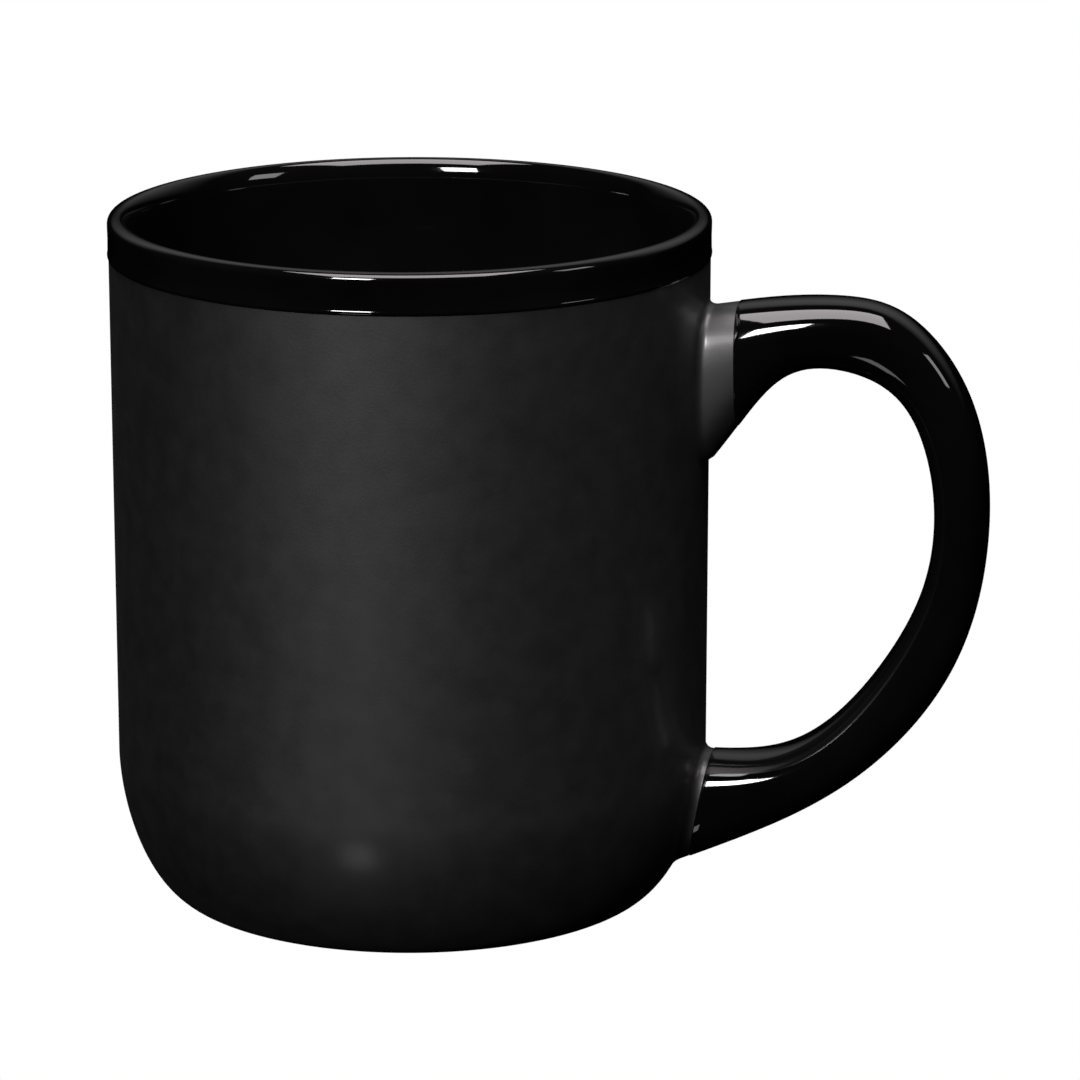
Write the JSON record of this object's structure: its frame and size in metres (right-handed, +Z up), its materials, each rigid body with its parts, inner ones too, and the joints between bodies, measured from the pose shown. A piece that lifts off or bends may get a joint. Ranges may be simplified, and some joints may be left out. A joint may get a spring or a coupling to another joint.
{
  "type": "mug",
  "caption": "Ceramic mug with a loop handle, gloss glaze inside, on the lip band and on the handle, and matte glaze outside.",
  "frame": {"origin": "on the cup's axis at the surface it stands on, 0.9 mm below the glazed face of the recess inside the foot ring", "axes": "+Z up along the cup's axis, +X towards the handle"},
  "size_m": [0.1304, 0.0889, 0.1058],
  "materials": {
    "clay": "matte",
    "slip": "matte",
    "gloss_glaze": "gloss",
    "matte_glaze": "satin"
  },
  "bodies": {
    "root": {"cup_body": "clay", "handle_core": "clay", "upper_slip_joint": "slip", "lower_slip_joint": "slip", "liner_glaze": "gloss_glaze", "handle_glaze": "gloss_glaze", "outer_glaze": "matte_glaze", "upper_root_collar": "matte_glaze", "lower_root_collar": "matte_glaze", "recess_glaze": "matte_glaze"}
  },
  "joints": []
}
